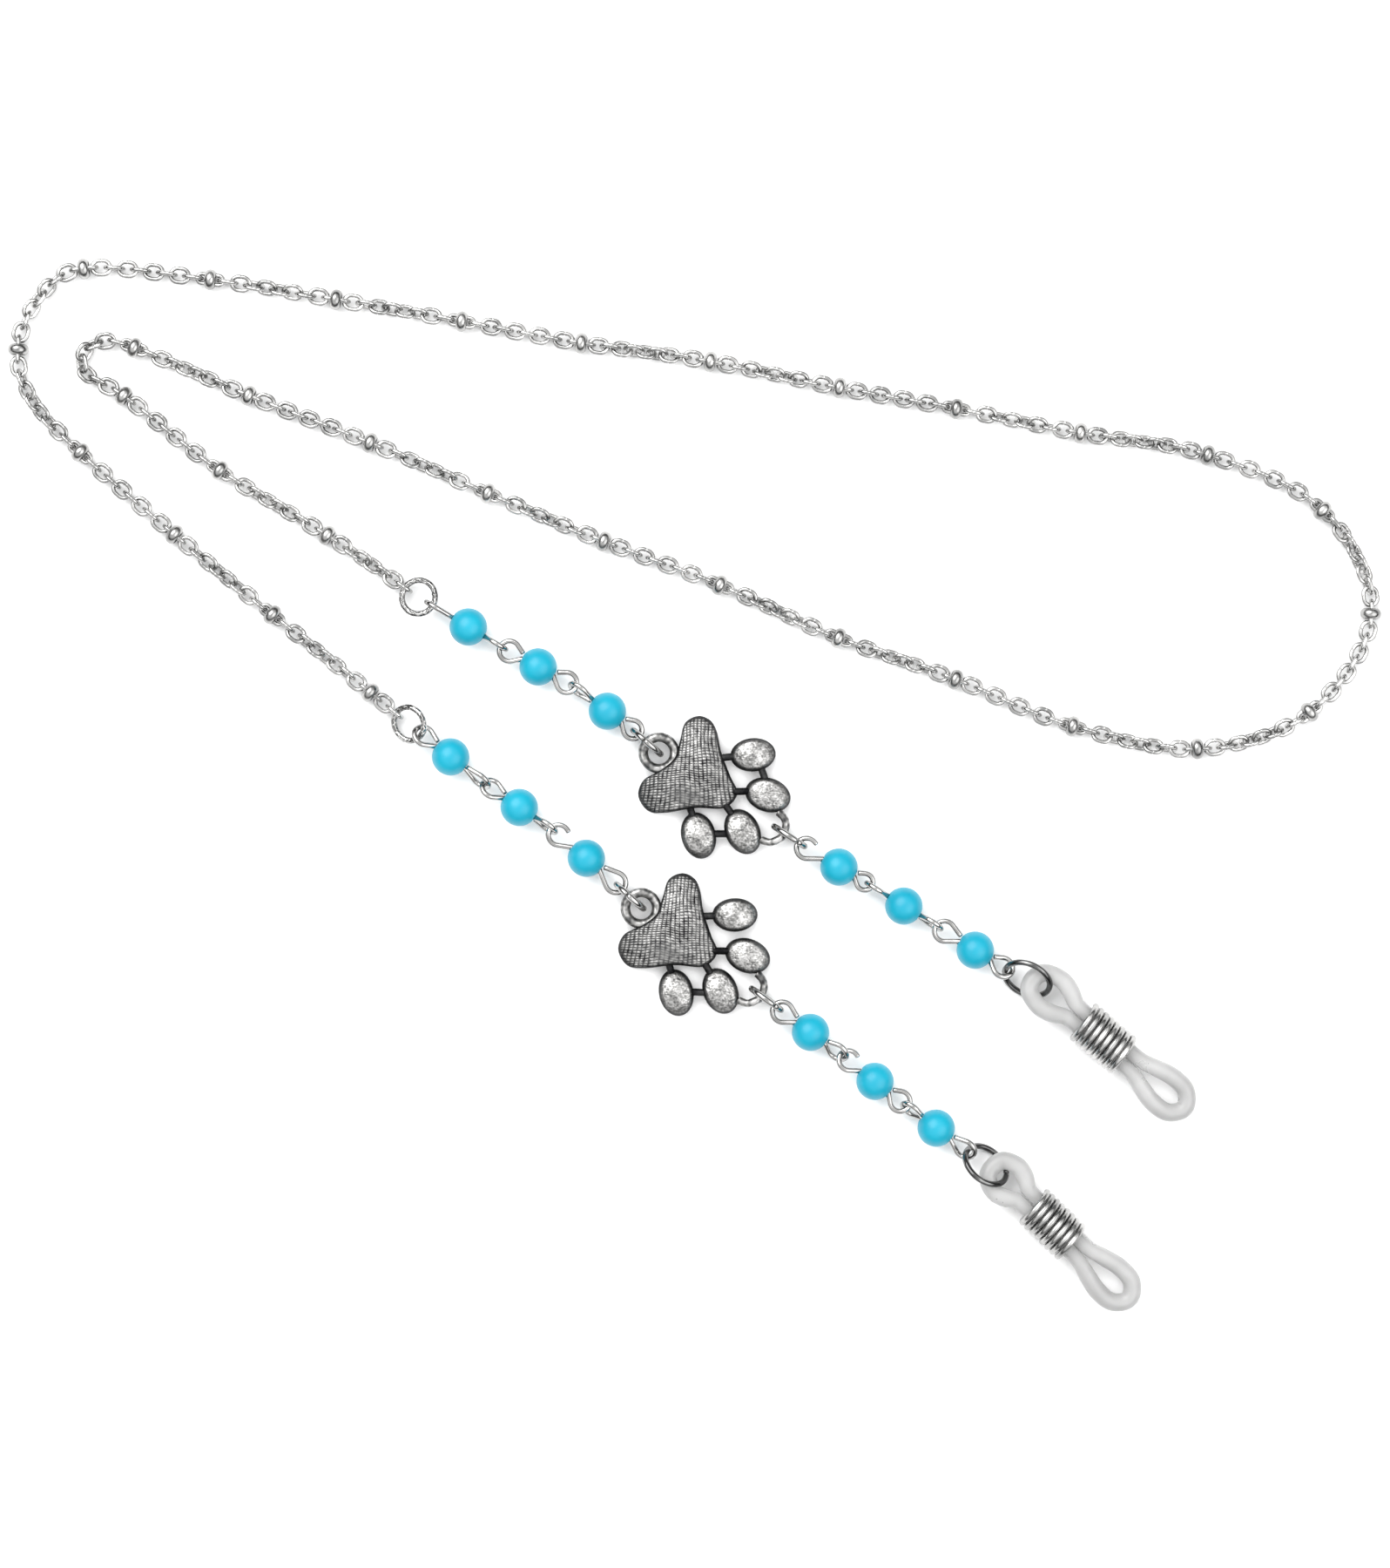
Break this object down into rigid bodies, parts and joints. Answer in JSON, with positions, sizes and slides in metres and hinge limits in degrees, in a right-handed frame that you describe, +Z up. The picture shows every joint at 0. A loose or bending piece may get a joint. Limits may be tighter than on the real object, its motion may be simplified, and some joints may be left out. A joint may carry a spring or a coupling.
{
  "type": "eyeglass retainer strap",
  "caption": "Spectacle retainer: satellite cable chain ending in turquoise beads, paw charms and rubber temple loops with sliding coils.",
  "frame": {"origin": "middle of the strap's footprint on the surface that it lies on", "axes": "+X runs right along the layout's longest side, +Y away from the temple loops, +Z up off the surface"},
  "size_m": [0.1574, 0.1206, 0.0052],
  "materials": {
    "chain_silver": "polished silver-tone cable links",
    "satellite_silver": "polished silver-tone collars",
    "hammered_silver": "silver-tone with chiselled facets",
    "pin_silver": "polished silver-tone wire",
    "turquoise": "opaque glossy turquoise",
    "ring_silver": "polished silver-tone wire",
    "antique_pewter": "antiqued, dark in the recesses, rubbed bright on the domes",
    "dark_steel": "polished darker wire",
    "clear_rubber": "translucent milky silicone",
    "coil_silver": "bright spring wire"
  },
  "bodies": {
    "chain_01": {"chain_links_01": "chain_silver", "satellite_beads_01": "satellite_silver"},
    "chain_02": {"chain_links_02": "chain_silver", "satellite_beads_02": "satellite_silver"},
    "chain_03": {"chain_links_03": "chain_silver", "satellite_beads_03": "satellite_silver"},
    "chain_04": {"chain_links_04": "chain_silver", "satellite_beads_04": "satellite_silver"},
    "chain_05": {"chain_links_05": "chain_silver", "satellite_beads_05": "satellite_silver"},
    "chain_06": {"chain_links_06": "chain_silver", "satellite_beads_06": "satellite_silver"},
    "chain_07": {"chain_links_07": "chain_silver", "satellite_beads_07": "satellite_silver"},
    "chain_08": {"chain_links_08": "chain_silver", "satellite_beads_08": "satellite_silver"},
    "chain_09": {"chain_links_09": "chain_silver", "satellite_beads_09": "satellite_silver"},
    "chain_10": {"chain_links_10": "chain_silver", "satellite_beads_10": "satellite_silver"},
    "chain_11": {"chain_links_11": "chain_silver", "satellite_beads_11": "satellite_silver"},
    "hammered_ring_a": {"hammered_ring_a": "hammered_silver"},
    "charm_ring_in_a": {"charm_ring_in_a": "ring_silver"},
    "paw_charm_a": {"paw_charm_a": "antique_pewter"},
    "charm_ring_out_a": {"charm_ring_out_a": "ring_silver"},
    "end_ring_a": {"end_ring_a": "dark_steel"},
    "rubber_loop_a": {"rubber_loop_a": "clear_rubber"},
    "coil_spring_a": {"coil_spring_a": "coil_silver"},
    "hammered_ring_b": {"hammered_ring_b": "hammered_silver"},
    "charm_ring_in_b": {"charm_ring_in_b": "ring_silver"},
    "paw_charm_b": {"paw_charm_b": "antique_pewter"},
    "charm_ring_out_b": {"charm_ring_out_b": "ring_silver"},
    "end_ring_b": {"end_ring_b": "dark_steel"},
    "rubber_loop_b": {"rubber_loop_b": "clear_rubber"},
    "coil_spring_b": {"coil_spring_b": "coil_silver"},
    "eye_pin_a1": {"eye_pin_a1": "pin_silver"},
    "eye_pin_a2": {"eye_pin_a2": "pin_silver"},
    "eye_pin_a3": {"eye_pin_a3": "pin_silver"},
    "eye_pin_a4": {"eye_pin_a4": "pin_silver"},
    "eye_pin_a5": {"eye_pin_a5": "pin_silver"},
    "eye_pin_a6": {"eye_pin_a6": "pin_silver"},
    "eye_pin_b1": {"eye_pin_b1": "pin_silver"},
    "eye_pin_b2": {"eye_pin_b2": "pin_silver"},
    "eye_pin_b3": {"eye_pin_b3": "pin_silver"},
    "eye_pin_b4": {"eye_pin_b4": "pin_silver"},
    "eye_pin_b5": {"eye_pin_b5": "pin_silver"},
    "eye_pin_b6": {"eye_pin_b6": "pin_silver"},
    "bead_a1": {"bead_a1": "turquoise"},
    "bead_a2": {"bead_a2": "turquoise"},
    "bead_a3": {"bead_a3": "turquoise"},
    "bead_a4": {"bead_a4": "turquoise"},
    "bead_a5": {"bead_a5": "turquoise"},
    "bead_a6": {"bead_a6": "turquoise"},
    "bead_b1": {"bead_b1": "turquoise"},
    "bead_b2": {"bead_b2": "turquoise"},
    "bead_b3": {"bead_b3": "turquoise"},
    "bead_b4": {"bead_b4": "turquoise"},
    "bead_b5": {"bead_b5": "turquoise"},
    "bead_b6": {"bead_b6": "turquoise"}
  },
  "joints": [
    {"name": "chain_hinge_01_02", "type": "hinge", "parent": "chain_02", "child": "chain_01", "pos_m": [-0.06481, 0.03313, 0.0012], "axis": [-0.6545, -0.7561, 0], "range_deg": [-60, 60]},
    {"name": "chain_hinge_02_03", "type": "hinge", "parent": "chain_03", "child": "chain_02", "pos_m": [-0.06302, 0.05888, 0.0012], "axis": [-0.1222, -0.9925, 0], "range_deg": [-60, 60]},
    {"name": "chain_hinge_03_04", "type": "hinge", "parent": "chain_04", "child": "chain_03", "pos_m": [-0.01952, 0.05176, 0.0012], "axis": [0.1865, 0.9825, 0], "range_deg": [-60, 60]},
    {"name": "chain_hinge_04_05", "type": "hinge", "parent": "chain_05", "child": "chain_04", "pos_m": [0.02294, 0.04436, 0.0012], "axis": [-0.171, -0.9853, 0], "range_deg": [-60, 60]},
    {"name": "chain_hinge_05_06", "type": "hinge", "parent": "chain_06", "child": "chain_05", "pos_m": [0.06548, 0.03545, 0.0012], "axis": [0.4165, 0.9091, 0], "range_deg": [-60, 60]},
    {"name": "chain_hinge_06_07", "type": "hinge", "parent": "chain_06", "child": "chain_07", "pos_m": [0.07531, 0.01361, 0.0012], "axis": [0.8123, -0.5832, 0], "range_deg": [-60, 60]},
    {"name": "chain_hinge_07_08", "type": "hinge", "parent": "chain_07", "child": "chain_08", "pos_m": [0.03627, 0.00939, 0.0012], "axis": [0.3961, 0.9182, 0], "range_deg": [-60, 60]},
    {"name": "chain_hinge_08_09", "type": "hinge", "parent": "chain_08", "child": "chain_09", "pos_m": [-0.00404, 0.02554, 0.0012], "axis": [-0.342, -0.9397, 0], "range_deg": [-60, 60]},
    {"name": "chain_hinge_09_10", "type": "hinge", "parent": "chain_09", "child": "chain_10", "pos_m": [-0.04513, 0.04228, 0.0012], "axis": [0.3556, 0.9346, 0], "range_deg": [-60, 60]},
    {"name": "chain_hinge_10_11", "type": "hinge", "parent": "chain_10", "child": "chain_11", "pos_m": [-0.06021, 0.04045, 0.0012], "axis": [0.6276, 0.7786, 0], "range_deg": [-60, 60]},
    {"name": "ring_hinge_a", "type": "hinge", "parent": "chain_11", "child": "hammered_ring_a", "pos_m": [-0.03314, 0.02258, 0.00125], "axis": [-0.5728, -0.8196, -0.0079], "range_deg": [-60, 60]},
    {"name": "pin_hinge_a1", "type": "hinge", "parent": "hammered_ring_a", "child": "eye_pin_a1", "pos_m": [-0.02999, 0.02053, 0.00211], "axis": [0.5158, 0.8567, -0.0079], "range_deg": [-60, 60]},
    {"name": "pin_hinge_a2", "type": "hinge", "parent": "eye_pin_a1", "child": "eye_pin_a2", "pos_m": [-0.0222, 0.01586, 0.00215], "axis": [-0.4819, -0.8762, 0], "range_deg": [-60, 60]},
    {"name": "pin_hinge_a3", "type": "hinge", "parent": "eye_pin_a2", "child": "eye_pin_a3", "pos_m": [-0.0136, 0.01114, 0.00215], "axis": [0.4819, 0.8762, 0], "range_deg": [-60, 60]},
    {"name": "ring_in_hinge_a", "type": "hinge", "parent": "eye_pin_a3", "child": "charm_ring_in_a", "pos_m": [-0.00622, 0.0057, 0.00215], "axis": [-0.5895, -0.8078, 0], "range_deg": [-50, 50]},
    {"name": "charm_hinge_a", "type": "hinge", "parent": "charm_ring_in_a", "child": "paw_charm_a", "pos_m": [-0.00543, 0.00487, 0.0015], "axis": [0.6561, 0.7547, 0], "range_deg": [-40, 40]},
    {"name": "ring_out_hinge_a", "type": "hinge", "parent": "paw_charm_a", "child": "charm_ring_out_a", "pos_m": [0.01023, -0.00556, 0.0015], "axis": [-0.5446, -0.8387, 0], "range_deg": [-60, 60]},
    {"name": "pin_hinge_a4", "type": "hinge", "parent": "charm_ring_out_a", "child": "eye_pin_a4", "pos_m": [0.0118, -0.00668, 0.00215], "axis": [0.4991, 0.8666, 0], "range_deg": [-60, 60]},
    {"name": "pin_hinge_a5", "type": "hinge", "parent": "eye_pin_a4", "child": "eye_pin_a5", "pos_m": [0.0203, -0.01157, 0.00215], "axis": [-0.4991, -0.8666, 0], "range_deg": [-60, 60]},
    {"name": "pin_hinge_a6", "type": "hinge", "parent": "eye_pin_a5", "child": "eye_pin_a6", "pos_m": [0.02761, -0.01612, 0.00215], "axis": [0.5233, 0.8477, 0.0872], "range_deg": [-60, 60]},
    {"name": "end_ring_hinge_a", "type": "hinge", "parent": "eye_pin_a6", "child": "end_ring_a", "pos_m": [0.03629, -0.02148, 0.00215], "axis": [-0.4761, -0.7712, 0.4226], "range_deg": [-50, 50]},
    {"name": "rubber_hinge_a", "type": "hinge", "parent": "end_ring_a", "child": "rubber_loop_a", "pos_m": [0.03805, -0.0222, 0.00244], "axis": [0.3519, 0.6855, -0.6373], "range_deg": [-45, 45]},
    {"name": "coil_slide_a", "type": "slide", "parent": "rubber_loop_a", "child": "coil_spring_a", "axis": [0.7593, -0.6508, 0], "range_m": [-0.001, 0.0015]},
    {"name": "bead_spin_a1", "type": "hinge", "parent": "eye_pin_a1", "child": "bead_a1", "pos_m": [-0.02589, 0.01807, 0.00215], "axis": [0.8592, -0.5117, 0], "continuous": true},
    {"name": "bead_spin_a2", "type": "hinge", "parent": "eye_pin_a2", "child": "bead_a2", "pos_m": [-0.0179, 0.0135, 0.00215], "axis": [0.8762, -0.4819, 0], "continuous": true},
    {"name": "bead_spin_a3", "type": "hinge", "parent": "eye_pin_a3", "child": "bead_a3", "pos_m": [-0.00998, 0.00844, 0.00215], "axis": [0.8078, -0.5895, 0], "continuous": true},
    {"name": "bead_spin_a4", "type": "hinge", "parent": "eye_pin_a4", "child": "bead_a4", "pos_m": [0.01652, -0.0094, 0.00215], "axis": [0.8666, -0.4991, 0], "continuous": true},
    {"name": "bead_spin_a5", "type": "hinge", "parent": "eye_pin_a5", "child": "bead_a5", "pos_m": [0.02395, -0.01385, 0.00215], "axis": [0.8498, -0.5271, 0], "continuous": true},
    {"name": "bead_spin_a6", "type": "hinge", "parent": "eye_pin_a6", "child": "bead_a6", "pos_m": [0.03211, -0.0189, 0.00215], "axis": [0.8509, -0.5253, 0], "continuous": true},
    {"name": "ring_hinge_b", "type": "hinge", "parent": "chain_01", "child": "hammered_ring_b", "pos_m": [-0.03406, 0.00833, 0.00133], "axis": [-0.5579, -0.6885, -0.4634], "range_deg": [-60, 60]},
    {"name": "pin_hinge_b1", "type": "hinge", "parent": "hammered_ring_b", "child": "eye_pin_b1", "pos_m": [-0.03132, 0.00569, 0.00203], "axis": [0.5455, 0.7004, 0.4603], "range_deg": [-60, 60]},
    {"name": "pin_hinge_b2", "type": "hinge", "parent": "eye_pin_b1", "child": "eye_pin_b2", "pos_m": [-0.02418, 0.00024, 0.00215], "axis": [-0.4315, -0.6329, 0.6428], "range_deg": [-60, 60]},
    {"name": "pin_hinge_b3", "type": "hinge", "parent": "eye_pin_b2", "child": "eye_pin_b3", "pos_m": [-0.01646, -0.00498, 0.00215], "axis": [0.6402, 0.7682, 0], "range_deg": [-60, 60]},
    {"name": "ring_in_hinge_b", "type": "hinge", "parent": "eye_pin_b3", "child": "charm_ring_in_b", "pos_m": [-0.00814, -0.01192, 0.00215], "axis": [-0.6402, -0.7682, 0], "range_deg": [-50, 50]},
    {"name": "charm_hinge_b", "type": "hinge", "parent": "charm_ring_in_b", "child": "paw_charm_b", "pos_m": [-0.00735, -0.01279, 0.0015], "axis": [0.6691, 0.7431, 0], "range_deg": [-40, 40]},
    {"name": "ring_out_hinge_b", "type": "hinge", "parent": "paw_charm_b", "child": "charm_ring_out_b", "pos_m": [0.00765, -0.02414, 0.0015], "axis": [-0.5878, -0.809, 0], "range_deg": [-60, 60]},
    {"name": "pin_hinge_b4", "type": "hinge", "parent": "charm_ring_out_b", "child": "eye_pin_b4", "pos_m": [0.00912, -0.0253, 0.00215], "axis": [0.5863, 0.8101, 0], "range_deg": [-60, 60]},
    {"name": "pin_hinge_b5", "type": "hinge", "parent": "eye_pin_b4", "child": "eye_pin_b5", "pos_m": [0.01673, -0.03079, 0.00215], "axis": [-0.5858, -0.7348, 0.342], "range_deg": [-60, 60]},
    {"name": "pin_hinge_b6", "type": "hinge", "parent": "eye_pin_b5", "child": "eye_pin_b6", "pos_m": [0.02442, -0.03691, 0.00215], "axis": [0.6234, 0.7819, 0], "range_deg": [-60, 60]},
    {"name": "end_ring_hinge_b", "type": "hinge", "parent": "eye_pin_b6", "child": "end_ring_b", "pos_m": [0.03187, -0.04235, 0.00215], "axis": [-0.4523, -0.6183, -0.6428], "range_deg": [-50, 50]},
    {"name": "rubber_hinge_b", "type": "hinge", "parent": "end_ring_b", "child": "rubber_loop_b", "pos_m": [0.03331, -0.04348, 0.00248], "axis": [0.4688, 0.6268, 0.6224], "range_deg": [-45, 45]},
    {"name": "coil_slide_b", "type": "slide", "parent": "rubber_loop_b", "child": "coil_spring_b", "axis": [0.7157, -0.6984, 0], "range_m": [-0.001, 0.0015]},
    {"name": "bead_spin_b1", "type": "hinge", "parent": "eye_pin_b1", "child": "bead_b1", "pos_m": [-0.0279, 0.00321, 0.00215], "axis": [0.7848, -0.6197, 0], "continuous": true},
    {"name": "bead_spin_b2", "type": "hinge", "parent": "eye_pin_b2", "child": "bead_b2", "pos_m": [-0.02005, -0.00258, 0.00215], "axis": [0.8262, -0.5633, 0], "continuous": true},
    {"name": "bead_spin_b3", "type": "hinge", "parent": "eye_pin_b3", "child": "bead_b3", "pos_m": [-0.01238, -0.00839, 0.00215], "axis": [0.7682, -0.6402, 0], "continuous": true},
    {"name": "bead_spin_b4", "type": "hinge", "parent": "eye_pin_b4", "child": "bead_b4", "pos_m": [0.01328, -0.02831, 0.00215], "axis": [0.8101, -0.5863, 0], "continuous": true},
    {"name": "bead_spin_b5", "type": "hinge", "parent": "eye_pin_b5", "child": "bead_b5", "pos_m": [0.02065, -0.03391, 0.00215], "axis": [0.7819, -0.6234, 0], "continuous": true},
    {"name": "bead_spin_b6", "type": "hinge", "parent": "eye_pin_b6", "child": "bead_b6", "pos_m": [0.02765, -0.03926, 0.00215], "axis": [0.8071, -0.5904, 0], "continuous": true}
  ]
}
